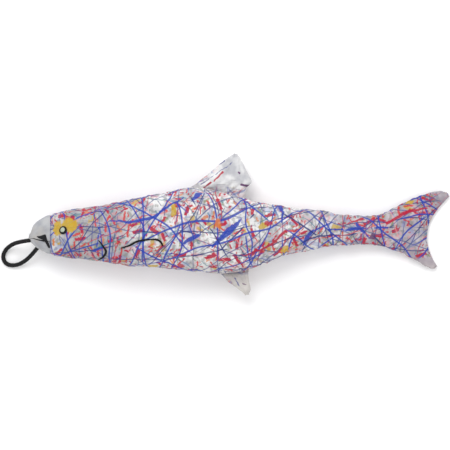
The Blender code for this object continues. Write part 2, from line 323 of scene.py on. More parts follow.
def closedLoft(name, rings, bowed=False):
    # a closed solid through rings, with a point in the middle of each end
    rows, columns = rings.shape[:2]
    middles = [rings[0].mean(axis=0), rings[-1].mean(axis=0)]
    if bowed:  # a curved edge is closed between the middles of its two sides
        quarters = [columns // 4, 3 * columns // 4]
        middles = [ends[quarters].mean(axis=0) for ends in (rings[0], rings[-1])]
    points = [*rings.reshape(-1, 3), *middles]
    faces = gridFaces(rows, columns, closed=True)
    for j in range(columns):
        k = (j + 1) % columns
        faces.append((j, k, rows * columns))
        faces.append(((rows - 1) * columns + k, (rows - 1) * columns + j, rows * columns + 1))
    return faceOutward(meshObject(name, points, faces))


# the fish's outline, the same as the model's

fish = {
    "nose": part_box("snout_panel_left")[0].x,
    "length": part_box("tail_panel_left")[1].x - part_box("snout_panel_left")[0].x,
    "depth": 0.062,
    "thickness": 0.042,
    "fullness": 0.84,
    "cloth": 0.0008,
    "snoutEnd": 0.0476,
    "tailBend": 0.7603,
    "stitchRoom": 0.0014,
    "stitchRise": (0.330, 0.400),
    "tailLength": 0.0755,
    "tailFlare": 0.019,
    "tailNotch": 0.0122,
}
bodyRows = (  # share of the length, back, belly, half thickness, seam height
    (0.0000, -0.113, -0.195, 0.08, 0.676),
    (0.0036, -0.063, -0.226, 0.21, 0.678),
    (0.0083, -0.006, -0.250, 0.30, 0.682),
    (0.0160, 0.035, -0.287, 0.37, 0.690),
    (0.0320, 0.085, -0.331, 0.467, 0.710),
    (0.0476, 0.121, -0.366, 0.543, 0.735),
    (0.0810, 0.166, -0.395, 0.667, 0.800),
    (0.1667, 0.221, -0.444, 0.857, 0.890),
    (0.2357, 0.294, -0.492, 0.952, 0.915),
    (0.3214, 0.374, -0.529, 1.000, 0.915),
    (0.3810, 0.442, -0.553, 1.000, 0.900),
    (0.4524, 0.397, -0.589, 0.967, 0.870),
    (0.4880, 0.337, -0.577, 0.920, 0.838),
    (0.5357, 0.273, -0.515, 0.830, 0.780),
    (0.6024, 0.221, -0.385, 0.657, 0.676),
    (0.6476, 0.192, -0.331, 0.552, 0.614),
    (0.6930, 0.161, -0.282, 0.448, 0.557),
    (0.7333, 0.113, -0.248, 0.371, 0.510),
    (0.7603, 0.106, -0.248, 0.357, 0.480),
)
tailRows = (  # lower edge's reach and drop, upper edge's reach and rise, notch, half thickness, height
    (0.000, 0.000, 0.000, 0.000, 0.00, 1.00, 1.00),
    (0.172, 0.005, 0.172, 0.010, 0.00, 0.97, 0.86),
    (0.291, 0.040, 0.291, 0.085, 0.00, 0.92, 0.75),
    (0.397, 0.155, 0.397, 0.215, 0.04, 0.86, 0.66),
    (0.503, 0.300, 0.517, 0.455, 0.16, 0.80, 0.60),
    (0.622, 0.525, 0.636, 0.690, 0.37, 0.74, 0.55),
    (0.728, 0.755, 0.768, 0.880, 0.66, 0.65, 0.49),
    (0.808, 0.955, 0.900, 0.985, 0.86, 0.48, 0.40),
    (0.861, 0.965, 0.980, 0.925, 0.98, 0.28, 0.30),
    (0.877, 0.865, 1.000, 0.785, 1.00, 0.11, 0.24),
)


def rowAt(rows, place):
    # a row between the given ones, on a smooth curve through them
    i = min(int(place), len(rows) - 2)
    t = place - i
    a, b, c, d = (np.array(rows[min(max(i + k, 0), len(rows) - 1)]) for k in (-1, 0, 1, 2))
    squared = (2 * a - 5 * b + 4 * c - d) * t**2
    cubed = (3 * b - a - 3 * c + d) * t**3
    return 0.5 * (2 * b + (c - a) * t + squared + cubed)


def along(share):
    return fish["nose"] + share * fish["length"]


def softStep(value, low, high):
    t = np.clip((value - low) / (high - low), 0, 1)
    return t * t * (3 - 2 * t)


def bodyRow(share):
    i = max(k for k in range(len(bodyRows) - 1) if bodyRows[k][0] <= max(share, 0))
    place = i + (share - bodyRows[i][0]) / (bodyRows[i + 1][0] - bodyRows[i][0])
    back, belly, half, seam = rowAt(bodyRows, min(max(place, 0), len(bodyRows) - 1))[1:]
    side = fish["thickness"] / 2
    return back * fish["depth"], belly * fish["depth"], half * side, seam * side


def ring(section, angles, inset=0.0):
    # points round a padded section, from its first edge over the left side
    first, second, swell, bow, floor = section
    middle = (first + second) / 2
    half = (first - second) / 2
    length = np.linalg.norm(half)
    reach = half / length * max(length - inset, 0.2 * length)
    height = max(swell - inset, 0.3 * swell)
    across = np.cos(angles)[:, None]
    rise = np.sign(np.sin(angles)) * np.abs(np.sin(angles)) ** fish["fullness"]
    points = middle + reach * across + bow * (1 - across**2)
    points[:, 2] = np.maximum(points[:, 2] + height * rise, floor + inset)
    return points


def bodySection(share):
    back, belly, half, seam = bodyRow(share)
    start, end = fish["stitchRise"]
    floor = fish["stitchRoom"] * (1 - softStep(share, start, end))
    x = along(share)
    return np.array((x, back, seam)), np.array((x, belly, seam)), half, np.zeros(3), floor


def tailSection(place):
    lowReach, drop, highReach, rise, notch, half, seam = rowAt(tailRows, place)
    back, belly, stalk, height = bodyRow(fish["tailBend"])
    x = along(fish["tailBend"])
    z = height * seam
    first = np.array((x + highReach * fish["tailLength"], back + rise * fish["tailFlare"], z))
    second = np.array((x + lowReach * fish["tailLength"], belly - drop * fish["tailFlare"], z))
    return first, second, half * stalk, np.array((-notch * fish["tailNotch"], 0, 0)), 0.0


# the elastic loop

elastic = {
    "diameter": 0.0032,
    "strands": 12,
    "relief": 0.00009,
    "pitch": 0.0100,
    "bendStart": (-0.1558, -0.0154, 0.0133),
    "bendEnd": (-0.1675, -0.0225, 0.0060),
    "inMouth": [(-0.1532, -0.0114, 0.0146), (-0.1564, -0.0118, 0.0145)],
    "inJaw": [(-0.1523, -0.0178, 0.0130), (-0.1507, -0.0160, 0.0140)],
    "route": [
        (-0.1594, -0.0122, 0.0138), (-0.1625, -0.0127, 0.0126), (-0.1660, -0.0134, 0.0103),
        (-0.1695, -0.0144, 0.0076), (-0.1728, -0.0161, 0.0051), (-0.1758, -0.0186, 0.0031),
        (-0.1778, -0.0217, 0.0020), (-0.1784, -0.0250, 0.0017), (-0.1773, -0.0282, 0.0017),
        (-0.1747, -0.0303, 0.0017), (-0.1710, -0.0309, 0.0019), (-0.1668, -0.0301, 0.0027),
        (-0.1633, -0.0284, 0.0041), (-0.1602, -0.0262, 0.0060), (-0.1572, -0.0234, 0.0083),
        (-0.1552, -0.0212, 0.0102), (-0.1537, -0.0195, 0.0118),
    ],
}


def smoothPath(points, count):
    places = np.linspace(0, len(points) - 1, count * 4)
    dense = np.array([rowAt(points, p) for p in places])
    steps = np.concatenate([[0], np.cumsum(np.linalg.norm(np.diff(dense, axis=0), axis=1))])
    even = np.linspace(0, steps[-1], count)
    return np.stack([np.interp(even, steps, dense[:, i]) for i in range(3)], axis=1), steps[-1]


def pathFrames(path, up):
    # across and up vectors at each point of a path
    ahead = np.gradient(path, axis=0)
    ahead /= np.linalg.norm(ahead, axis=1, keepdims=True)
    across = np.cross(ahead, up)
    across /= np.linalg.norm(across, axis=1, keepdims=True)
    return across, np.cross(across, ahead)


def makeElastic():
    route = elastic["inMouth"] + elastic["route"] + elastic["inJaw"]
    path, length = smoothPath(route, 300)
    across, up = pathFrames(path, np.tile((0.35, -0.45, 0.82), (len(path), 1)))
    run = np.linspace(0, length, len(path))[:, None]
    angles = np.linspace(0, 2 * math.pi, 48, endpoint=False)[None, :]
    # strands wound both ways, one over the other in turn
    half = elastic["strands"] / 2
    turn = 2 * math.pi * run / elastic["pitch"]
    leftHand = np.cos(half * angles + turn * half / 2)
    rightHand = np.cos(half * angles - turn * half / 2)
    relief = elastic["relief"] * (np.maximum(leftHand, rightHand) - 1)
    radius = elastic["diameter"] / 2 + relief
    rings = (
        path[:, None, :]
        + across[:, None, :] * (radius * np.cos(angles))[..., None]
        + up[:, None, :] * (radius * np.sin(angles))[..., None]
    )
    loop = closedLoft("elasticCord", rings)
    loop.data.materials.append(elasticFinish())
    # the sewn ends stay in the mouth
    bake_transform(loop)
    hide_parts("elastic_loop")
    print(f"elastic loop: {length * 1000:.1f} mm")


def elasticFinish():
    f = Finish("braidedElastic", {"Roughness": 0.6, "Specular IOR Level": 0.25})
    where = f.add("ShaderNodeTexCoord", {}, {}, "Object") * 1000.0
    fluff = f.noise(where, 0.35, 3.0)
    colour = f.mix(fluff.smooth(0.35, 0.75), tint("060607"), tint("17171A"))
    return f.paint(colour, fluff, 0.00005, 0.4, roughness=0.5 + 0.25 * fluff)


# printed and plain cloth

printed = {
    "ground": "EFEFEF",
    "shade": "A4A5AF",
    "mottle": "85847F",
    "frontWash": "77767F",
    "rearWash": "8A6C82",
    "olive": "7F8450",
    # belly: partly painted shade for the belly side, which turns away from the light, and partly the
    # cloth's own grey-beige tone
    "belly": "C4B9AE",
    "navy": "2B3478",
    "charcoal": "565C92",
    "blue": "2442AE",
    "paleBlue": "8793CF",
    "teal": "3B7F93",
    "crimson": "B81C3C",
    "red": "D03A38",
    "pink": "E39AA2",
    "yellow": "C8A62A",
    "orange": "D97A30",
    "plum": "5E2A62",
    "dye": 0.80,  # how much light the whole print gives back
    "weave": 0.45,  # millimetres from thread to thread
}

# brush strokes, given one by one: a colour, then points along the cloth, across it, and half the width,
# in mm
brushStrokes = (
    ("blue", ((-109, 16, 0.5), (-105, 3, 1.0), (-107, -9, 0.5))),
    ("blue", ((-105, 10, 0.6), (-84, 7, 1.1), (-66, 11, 1.2), (-42, 24, 0.5))),
    ("blue", ((-21, -11, 0.8), (-9, 2, 2.4), (1, 13, 0.9))),
    ("blue", ((-58, -22, 0.5), (-33, -5, 1.7), (-29, -3, 0.6))),
    ("blue", ((-35, 22, 1.2), (-32, 26, 2.2), (-29, 29, 0.7))),
    ("blue", ((30, 21, 1.3), (32, 13, 1.0), (31, 6, 0.4))),
    ("blue", ((47, -13, 0.8), (50, -7, 1.7), (54, 0, 0.6))),
    ("blue", ((66, 0, 0.5), (88, 1, 1.3), (110, 0, 0.7))),
    ("blue", ((-14, -31, 0.4), (-38, -36, 1.3), (-43, -38, 0.6))),
    ("blue", ((86, 7, 0.5), (92, 0, 1.4), (98, -7, 0.6))),
    ("blue", ((-98, -7, 0.5), (-108, -12, 1.4), (-111, -14, 0.5))),
    ("navy", ((-96, -4, 0.3), (-74, 1, 0.5), (-46, -2, 0.5), (-8, -6, 0.3))),
    ("navy", ((-128, 22, 0.4), (-100, 17, 0.5), (-62, 33, 0.4))),
    ("navy", ((-70, -36, 0.4), (-14, -12, 0.6), (10, 16, 0.5))),
    ("navy", ((-12, -34, 0.6), (26, -21, 0.7), (58, -5, 0.6), (100, -2, 0.5))),
    ("navy", ((-44, 36, 0.5), (-24, 4, 0.5), (6, -38, 0.6))),
    ("navy", ((28, 16, 0.6), (56, -4, 0.6))),
    ("navy", ((100, -5, 0.5), (118, -24, 0.7))),
    ("navy", ((112, 0, 0.35), (140, 1, 0.35))),
    ("navy", ((-35, 88, 0.35), (-20, 74, 0.4))),
    ("teal", ((-106, -10, 0.5), (-86, -3, 0.5), (-60, 2, 0.3))),
    ("teal", ((0, 2, 0.3), (28, 17, 0.5))),
    ("crimson", ((110, 4, 1.3), (124, 11, 1.3), (140, 16, 0.7))),
    ("crimson", ((-3, -18, 0.3), (22, -9, 1.0), (34, -1, 1.3))),
    ("crimson", ((78, 4, 0.6), (92, 9, 1.4))),
    ("crimson", ((-27, 88, 0.4), (-22, 92, 0.8))),
    ("crimson", ((-19, 93, 0.5), (-13, 99, 0.7))),
    ("plum", ((-133, -14, 0.3), (-124, -11, 0.8), (-118, -16, 0.3))),
    ("plum", ((1, 89, 0.6), (6, 88, 0.9))),
    ("plum", ((-2, 98, 0.5), (-1, 97, 0.6))),
    ("plum", ((2, -104, 0.7), (5, -105, 0.5))),
    ("charcoal", ((-36, 93, 0.4), (-12, 108, 0.5))),
    ("charcoal", ((-29, 91, 0.35), (-6, 106, 0.4))),
    ("charcoal", ((-6, -96, 0.4), (-1, -106, 0.6))),
)
# blotches: a colour, then the middle along and across, and half the width each way, in mm
blotches = (
    ("yellow", -49, 14, 2.4, 5.6),
    ("yellow", -66, -30, 4.0, 2.5),
    ("yellow", 34, -14, 3.0, 3.6),
    ("orange", -16, 7, 2.6, 4.0),
    ("yellow", 16, 6, 3.8, 2.8),
    ("crimson", -44, -30, 3.0, 2.0),
    ("crimson", 12, -29, 3.4, 1.8),
    ("crimson", 20, 8, 3.2, 2.6),
    ("yellow", 128, 20, 4.0, 1.9),
    ("plum", 100, -6, 3.0, 2.4),
)
eyePatch = (
    ("yellow", -127, 7, 6.8, 6.2),
    ("yellow", -136, 4, 3.0, 6.4),
    ("orange", -139, -6, 1.6, 3.2),
)
# long wandering lines: a colour, the heading in degrees, the spacing and half the width in mm,
# and the strength
longLines = (
    ("teal", -28, 37, 0.32, 0.75),
    ("pink", 130, 23, 0.35, 0.7),
    ("charcoal", 40, 11, 0.34, 0.85),
    ("charcoal", -15, 13, 0.34, 0.85),
    ("charcoal", 84, 15, 0.32, 0.8),
    ("navy", 48, 26, 0.34, 0.85),
    ("crimson", 74, 31, 0.28, 0.85),
    ("red", 18, 29, 0.26, 0.8),
    ("navy", 8, 17, 0.38, 0.85),
    ("navy", -62, 22, 0.38, 0.85),
    ("blue", 22, 19, 0.58, 0.9),
    ("blue", -38, 20, 0.55, 0.9),
    ("blue", 60, 24, 0.52, 0.9),
    ("blue", 101, 27, 0.50, 0.9),
    ("blue", -78, 34, 0.50, 0.9),
)
# short marks: a colour, which warp, the cell, length, half width, lean, spread, chance and strength
shortMarks = (
    ("paleBlue", 0, 14, 5.0, 1.2, 0.6, 5.0, 0.7, 0.40),
    ("pink", 1, 9, 3.4, 0.9, 2.2, 6.0, 0.7, 0.45),
    ("olive", 1, 9, 2.6, 0.7, 1.7, 6.0, 0.6, 0.65),
    ("teal", 1, 11, 2.6, 0.6, 0.2, 6.0, 0.55, 0.6),
    ("yellow", 1, 15, 2.8, 1.2, 0.3, 6.0, 0.45, 0.75),
    ("orange", 1, 12, 2.2, 0.7, 1.3, 6.0, 0.5, 0.75),
    ("red", 1, 8.0, 3.0, 0.6, 2.7, 4.0, 0.75, 0.9),
    ("crimson", 1, 10.5, 3.4, 1.0, 0.9, 6.0, 0.7, 0.95),
    ("crimson", 1, 5.5, 1.3, 0.45, 1.9, 6.0, 0.6, 0.9),
    ("navy", 0, 12, 4.0, 0.30, 1.1, 6.0, 0.7, 0.75),
)


def ink(name):
    return [c * printed["dye"] for c in tint(printed[name])]


def strokeMask(point, start, end):
    x0, y0, w0 = start
    x1, y1, w1 = end
    run = (x1 - x0, y1 - y0)
    square = run[0] ** 2 + run[1] ** 2
    away = point - (x0, y0, 0)
    t = away.dot((run[0] / square, run[1] / square, 0)).clamp()
    away = away - t.times((run[0], run[1], 0))
    return ((w0 + (w1 - w0) * t - away.length()) * 3.0 + 0.5).clamp()


def blotchMask(point, blotch):
    _, x, y, wide, tall = blotch
    away = (point - (x, y, 0)) * (1 / wide, 1 / tall, 0)
    return 1 - away.length().smooth(0.8, 1.05)


def scatter(f, point, cell, length, width, lean, spread, chance, seed):
    # one straight dash in some cells of a random mosaic, as many of them as chance says
    turned = f.add("ShaderNodeMapping", {}, {
        "Vector": point, "Location": (seed * 7.3, seed * 3.1, 0), "Rotation": (0, 0, seed),
        "Scale": (1 / cell, 1 / cell, 0),
    })
    centre, chosen = f.add("ShaderNodeTexVoronoi", {"voronoi_dimensions": "2D"},
                           {"Vector": turned, "Scale": 1.0},
                           ("Position", "Color"))
    first, second, third = f.add("ShaderNodeSeparateColor", {}, {0: chosen}, ("Red", "Green", "Blue"))
    angle = (first - 0.5) * spread + (lean + seed)
    heading = f.add("ShaderNodeCombineXYZ", {}, {
        0: angle.work("COSINE", angle), 1: angle.work("SINE", angle),
    })
    away = turned - centre
    run = abs(away.dot(heading)) * cell
    crossed = f.add("ShaderNodeVectorMath", {"operation": "CROSS_PRODUCT"}, {0: away, 1: heading})
    off = crossed.length() * cell
    half = width * (0.6 + 0.8 * second)
    dash = ((half - off) * 3.0 + 0.5).clamp() * ((length * (0.5 + second) - run) * 1.5 + 0.5).clamp()
    return dash * (third + chance).smooth(0.98, 1.02)


def wanderingLines(f, point, heading, spacing, width, seed):
    # lines across the whole cloth, each with a curve of its own, that come and go
    c, s = math.cos(heading), math.sin(heading)
    over = point.dot((-s / spacing, c / spacing, 0)) + seed * 3.7
    ahead = point.dot((c / 62, s / 62, 0)) + seed
    number = over.work("FLOOR", over)
    own = f.add("ShaderNodeCombineXYZ", {}, {0: ahead, 1: number * 7.7, 2: seed * 2.3})
    drawn = f.noise(own, 1.0, 1.0, "Color")
    curve, weight = f.add("ShaderNodeSeparateColor", {}, {0: drawn}, ("Red", "Green"))
    off = abs(over.work("FRACT", over) - 0.5 - (curve - 0.5) * 1.5) * spacing
    half = (0.3 + 1.4 * weight) * width
    return ((half - off) * 3.0 + 0.5).clamp() * weight.smooth(0.44, 0.50)


def printColour(f, place):
    x, y, side = f.add("ShaderNodeSeparateXYZ", {}, {0: place}, ("X", "Y", "Z"))
    side = side * 0.001
    flat = f.add("ShaderNodeCombineXYZ", {}, {0: x + side * 391.0, 1: y + side * 157.0})
    # the right side is cut from another stretch of the same cloth, the other way round
    other = f.add("ShaderNodeCombineXYZ", {}, {0: x * (1 - 2 * side) + side * 17.0, 1: y})
    bend = (f.noise(flat, 17.0, 1.0, "Color") - 0.5) * 7.0
    ragged = (f.noise(flat, 2.2, 2.0, "Color") - 0.5) * 2.4
    lines = flat + bend
    drops = flat + ragged + bend * 0.5
    hand = other + (f.noise(other, 24.0, 1.0, "Color") - 0.5) * 5.0
    rough = hand + ragged * 0.6
    own = f.add("ShaderNodeCombineXYZ", {}, {0: x, 1: y}) + ragged
    crowded = 0.55 + 0.65 * f.noise(flat, 26.0, 1.0).smooth(0.42, 0.58)
    share = f.share()

    colour = f.mix(f.noise(flat, 15.0, 3.0).smooth(0.41, 0.64) * 0.68, ink("ground"), ink("shade"))
    colour = f.mix((1 - abs(x + 108).smooth(12, 44)) * 0.58, colour, ink("frontWash"))
    colour = f.mix(x.smooth(30, 110) * 0.48, colour, ink("rearWash"))
    colour = f.mix(f.noise(flat, 3.2, 3.0).smooth(0.47, 0.62) * 0.6 * share, colour, ink("mottle"))
    # darker towards the belly edge: partly painted shade, partly the cloth's own grey-beige tone
    colour = f.mix((-y).smooth(16, 46) * 0.5, colour, ink("belly"))
    for seed, kind in enumerate(shortMarks, 1):
        name, warp, cell, length, width, lean, spread, chance, strength = kind
        dash = scatter(f, drops if warp else lines, cell, length, width, lean, spread,
                       crowded * chance, seed)
        colour = f.mix(dash * strength * share, colour, ink(name))
    for seed, (name, heading, spacing, width, strength) in enumerate(longLines, 1):
        line = wanderingLines(f, flat, math.radians(heading), spacing, width, seed)
        colour = f.mix(line * strength * share, colour, ink(name))
    torn = rough + (f.noise(flat, 5.0, 3.0, "Color") - 0.5) * 6.0
    for blotch in blotches:
        colour = f.mix(blotchMask(torn, blotch) * 0.85 * share, colour, ink(blotch[0]))
    ownTorn = own + torn - rough
    for blotch in eyePatch:
        colour = f.mix(blotchMask(ownTorn, blotch) * 0.9, colour, ink(blotch[0]))
    join = along(fish["snoutEnd"]) * 1000
    colour = f.mix((1 - abs(x - join - 0.7).smooth(0.25, 0.6)) * 0.6, colour, ink("charcoal"))
    for name in dict.fromkeys(stroke[0] for stroke in brushStrokes):
        mask = None
        for colourName, points in brushStrokes:
            if colourName == name:
                for start, end in zip(points, points[1:]):
                    one = strokeMask(rough if name != "navy" else hand, start, end)
                    mask = one if mask is None else mask.top(one)
        colour = f.mix(mask * 0.92, colour, ink(name))
    return colour


def weaveHeight(f, place):
    # threads over and under each other, with thick places here and there
    x, y, _ = f.add("ShaderNodeSeparateXYZ", {}, {0: place}, ("X", "Y", "Z"))
    pace = 2 * math.pi / printed["weave"]
    warp = (x * pace).work("SINE", x * pace)
    weft = (y * pace).work("SINE", y * pace)
    slub = f.noise(place * (0.25, 1.0, 1.0), 1.1, 2.0)
    return 0.5 + 0.22 * (warp * weft) + 0.5 * slub


def printedFinish():
    f = Finish("printedCloth", {"Roughness": 0.86, "Specular IOR Level": 0.25, "Sheen Weight": 0.12})
    place = f.place()
    colour = printColour(f, place)
    worn = f.noise(place, 0.9, 2.0)
    colour = f.mix(worn.smooth(0.5, 0.8) * 0.16, colour, ink("shade"))
    return f.paint(colour, weaveHeight(f, place), 0.00012, 0.6)


def plainFinish(name, pale, deep, warm):
    f = Finish(name, {"Roughness": 0.88, "Specular IOR Level": 0.22, "Sheen Weight": 0.15})
    place = f.place()
    cloudy = f.noise(place, 9.0, 3.0).smooth(0.38, 0.68)
    colour = f.mix(cloudy, tint(pale), tint(deep))
    warmer = f.noise(place + 31.0, 13.0, 1.0).smooth(0.45, 0.65)
    colour = f.mix(warmer * 0.5, colour, tint(warm))
    threads = f.noise(place * (1.0, 0.2, 1.0), 0.5, 2.0)
    colour = f.mix(threads.smooth(0.45, 0.8) * 0.2, colour, tint(deep))
    return f.paint(colour, weaveHeight(f, place), 0.00012, 0.6)


# swelling the cloth

swell = {
    "pressure": 5.0,
    "growth": 0.035,
    "frames": 22,
    "outMost": 0.0022,
    "inMost": 0.0007,
}


def swellCloth(name, grid, held, floor, closed=True):
    # blows the stuffed skin up a little against its held seams, so that it puckers,
    # and gives the new grid
    rows, columns = grid.shape[:2]
    bag = meshObject(name, grid.reshape(-1, 3), gridFaces(rows, columns, closed=closed))
    faceOutward(bag)
    group = bag.vertex_groups.new(name="held")
    group.add([int(i) for i in np.flatnonzero(held)], 1.0, "REPLACE")
    cloth = bag.modifiers.new("cloth", "CLOTH")
    cloth.settings.quality = 6
    cloth.settings.bending_stiffness = 0.25
    cloth.settings.vertex_group_mass = "held"
    cloth.settings.use_pressure = True
    cloth.settings.uniform_pressure_force = swell["pressure"]
    cloth.settings.shrink_min = -swell["growth"]
    cloth.settings.effector_weights.gravity = 0
    cloth.collision_settings.use_collision = False
    cloth.point_cache.frame_end = swell["frames"]
    for frameNumber in range(1, swell["frames"] + 1):
        bpy.context.scene.frame_set(frameNumber)
    evaluated = bag.evaluated_get(bpy.context.evaluated_depsgraph_get())
    after = np.empty(rows * columns * 3)
    evaluated.data.vertices.foreach_get("co", after)
    after = after.reshape(grid.shape)
    bpy.data.objects.remove(bag)
    bpy.context.scene.frame_set(1)
    moved = after - grid
    normals = outward(grid, closed=closed)
    out = (moved * normals).sum(axis=2)
    sideways = moved - normals * out[..., None]
    size = np.maximum(np.linalg.norm(sideways, axis=2), 1e-9)
    sideways *= (np.minimum(size, swell["inMost"]) / size)[..., None]
    out = np.clip(out, -swell["inMost"], swell["outMost"])
    print(f"{name}: swelled {out.max() * 1000:.1f} mm out and {-out.min() * 1000:.1f} mm in")
    made = grid + sideways + normals * out[..., None]
    made[..., 2] = np.maximum(made[..., 2], floor)
    return made


# body and tail skin

skin = {
    "drawnIn": (0.0007, 0.0003, 0.0),  # at the first rows, where the join to the snout is pulled in
    "heldAt": 0.0013,  # how near the embroidered lines the cloth is held
    "bodyStations": 142,
    "tailStations": 50,
    "columns": 72,
    "lump": 0.0008,
    "pucker": 0.00075,
    "puckerReach": 0.0085,
    "seamGroove": 0.0008,
}
gillLine = (
    (0.0517, -0.0118), (0.0537, -0.0140), (0.0557, -0.0168), (0.0574, -0.0196),
    (0.0572, -0.0215), (0.0562, -0.0231), (0.0543, -0.0250), (0.0513, -0.0266),
)
pectoralLine = (
    (0.0686, -0.0178), (0.0720, -0.0167), (0.0757, -0.0154), (0.0805, -0.0128),
    (0.0855, -0.0118), (0.0900, -0.0113), (0.0949, -0.0113), (0.0983, -0.0130),
    (0.1000, -0.0162),
)


def linePoints(line, count):
    # points on an embroidered line, seen from the left: across the picture from the nose, and up
    places = np.linspace(0, len(line) - 1, count)
    points = np.array([rowAt(line, p) for p in places])
    return points + (fish["nose"], 0)


def acrossCloth(grid):
    # how far each point is from the middle of its side, measured over the cloth,
    # plus towards the first seam
    steps = np.linalg.norm(np.diff(grid, axis=1), axis=2)
    walked = np.concatenate([np.zeros((len(grid), 1)), np.cumsum(steps, axis=1)], axis=1)
    return walked[:, -1:] / 2 - walked


def puckered(grid, columns, seed):
    # lumps of stuffing, the groove of the seam, and short puckers that run square to it
    normals = outward(grid, closed=True)
    half = columns // 2
    sides = [acrossCloth(grid[:, :half + 1]), acrossCloth(grid[:, half:])[:, 1:]]
    walked = np.abs(np.concatenate(sides, axis=1))
    walked = walked[:, :columns]
    most = walked.max(axis=1, keepdims=True)
    toSeam = most - walked
    lumps = 0.6 * ripple(grid, 0.026, seed) + 0.4 * ripple(grid, 0.010, seed + 5)
    seamPoints = grid.copy()
    seamPoints[:, :, 1:] *= 0.12  # stretched across, so that each pucker runs off the seam
    wave = ripple(seamPoints, 0.0030, seed + 9) + 0.5 * ripple(seamPoints, 0.0017, seed + 13)
    slack = 0.55 + 0.45 * ripple(seamPoints, 0.03, seed + 17)
    out = skin["lump"] * lumps
    out = out + skin["pucker"] * wave * slack * np.exp(-toSeam / skin["puckerReach"]) * 1.6
    out = out - skin["seamGroove"] * np.exp(-(toSeam / 0.0013) ** 2)
    room = softStep(most, 0.002, 0.012)
    return grid + normals * (out * room)[..., None]


def closedEdge(grid, ahead):
    # three more rows, which bring the two sides together at the sewn edge
    last = grid[-1]
    mirror = last[::-1]  # the point across the edge from each
    rows = []
    for share, reach in ((0.72, 0.0004), (0.32, 0.0007), (0.04, 0.0008)):
        row = last * (1 + share) / 2 + mirror * (1 - share) / 2
        rows.append(row + np.array(ahead) * reach)
    return np.concatenate([grid, np.array(rows)])


def oneSide(whole, smoothWhole, first, side):
    # half of a stuffed skin: its cloth, the same without puckers, and how thick the cloth is
    last = first + whole.shape[1] // 2 + 1
    outer = finer(finer(whole[:, first:last], 0), 1)
    plain = finer(finer(smoothWhole[:, first:last], 0), 1)
    count = outer.shape[1]
    edge = np.minimum(np.arange(count), np.arange(count)[::-1])[None, :]
    outer[..., 2] += side * 0.00008 * np.exp(-edge / 2.0)  # the two sides meet in a fine ridge
    room = np.abs(plain[..., 2] - plain[:, :1, 2])
    thickness = fish["cloth"] * np.clip(room / (2.2 * fish["cloth"]), 0.3, 1)
    return outer, plain, thickness


def makeSkin(printCloth):
    columns = skin["columns"]
    angles = np.linspace(0, 2 * math.pi, columns, endpoint=False)
    shares = np.linspace(fish["snoutEnd"] + 0.0005, fish["tailBend"], skin["bodyStations"])
    sections = [bodySection(share) for share in shares]
    places = np.linspace(0, len(tailRows) - 1, skin["tailStations"])[1:]
    sections += [tailSection(place) for place in places]
    floor = np.array([section[4] for section in sections])[:, None]
    smoothGrid = np.array([ring(section, angles) for section in sections])
    grid = puckered(smoothGrid, columns, 3.0)
    # the join to the snout, and the sewn edge of the tail, are drawn in
    drawnIn = np.array(skin["drawnIn"])[:, None, None]
    grid[:3] = smoothGrid[:3] - outward(smoothGrid, closed=True)[:3] * drawnIn
    grid[..., 2] = np.maximum(grid[..., 2], floor + 0.0001)
    held = np.zeros(grid.shape[:2], bool)
    held[:, 0] = held[:, columns // 2] = True
    held[:2] = held[-2:] = True
    for line in (gillLine, pectoralLine):
        for x, y in linePoints(line, 60):
            held |= np.hypot(grid[..., 0] - x, grid[..., 1] - y) < skin["heldAt"]
    grid = swellCloth("fishBag", grid, held.ravel(), floor + 0.0001)

    half = columns // 2
    wholeSmooth = closedEdge(np.concatenate([smoothGrid, smoothGrid[:, :1]], axis=1), (1, 0, 0))
    whole = closedEdge(np.concatenate([grid, grid[:, :1]], axis=1), (1, 0, 0))
    for side, word, start in ((1, "left", 0), (-1, "right", half)):
        outer, plain, thickness = oneSide(whole, wholeSmooth, start, side)
        across = acrossCloth(plain) * side
        outer[..., 2] = np.maximum(outer[..., 2], 0.0001)
        place = np.stack([plain[..., 0], across, np.full_like(across, (1 - side) / 2)], axis=2)
        share = 1 - softStep(-plain[..., 1], 0.0235, 0.0270) * softStep(plain[..., 0], 0.09, 0.11)
        share *= 1 - 0.75 * softStep(plain[..., 0] + 0.3 * plain[..., 1], 0.150, 0.157)
        name = f"fishSkin_{word}"
        piece = clothPiece(name, outer, outward(outer), place.reshape(-1, 3), share.ravel(), thickness)
        piece.data.materials.append(printCloth)
        finishBend(piece)
        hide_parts(f"body_panel_{word}", f"tail_panel_{word}")
        surfaces[side] = outer
    print("body and tail skin made")


surfaces = {}


def finishBend(piece):
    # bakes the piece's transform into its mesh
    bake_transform(piece)


# stuffing

stuffing = {
    "inset": 0.0021,
    "stations": 96,
    "columns": 44,
    "tuft": 0.00025,
}


def fibreFinish():
    f = Finish("fibreFill", {"Roughness": 0.95, "Sheen Weight": 0.3})
    where = f.add("ShaderNodeTexCoord", {}, {}, "Object") * 1000.0
    strands = f.noise(where * (1.0, 2.6, 1.6), 0.8, 4.0)
    clumps = f.noise(where, 7.0, 2.0)
    colour = f.mix(strands.smooth(0.35, 0.7), tint("DEDBD3"), tint("F6F4EE"))
    colour = f.mix(clumps.smooth(0.5, 0.8) * 0.3, colour, tint("CFCBC2"))
    return f.paint(colour, strands, 0.0003, 0.7)


def makeStuffing(fibre):
    angles = np.linspace(0, 2 * math.pi, stuffing["columns"], endpoint=False)
    shares = np.linspace(0.007, fish["tailBend"], stuffing["stations"])
    sections = [bodySection(share) for share in shares]
    sections += [tailSection(place) for place in np.linspace(0, 6.8, 30)[1:]]
    rings = np.array([ring(s, angles, min(stuffing["inset"], 0.6 * s[2])) for s in sections])
    rings += outward(rings, closed=True) * (ripple(rings, 0.004, 21.0) * stuffing["tuft"])[..., None]
    piece = closedLoft("fishFilling", rings, bowed=True)
    piece.data.materials.append(fibre)
    finishBend(piece)
    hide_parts("body_stuffing", "tail_stuffing")


# fins

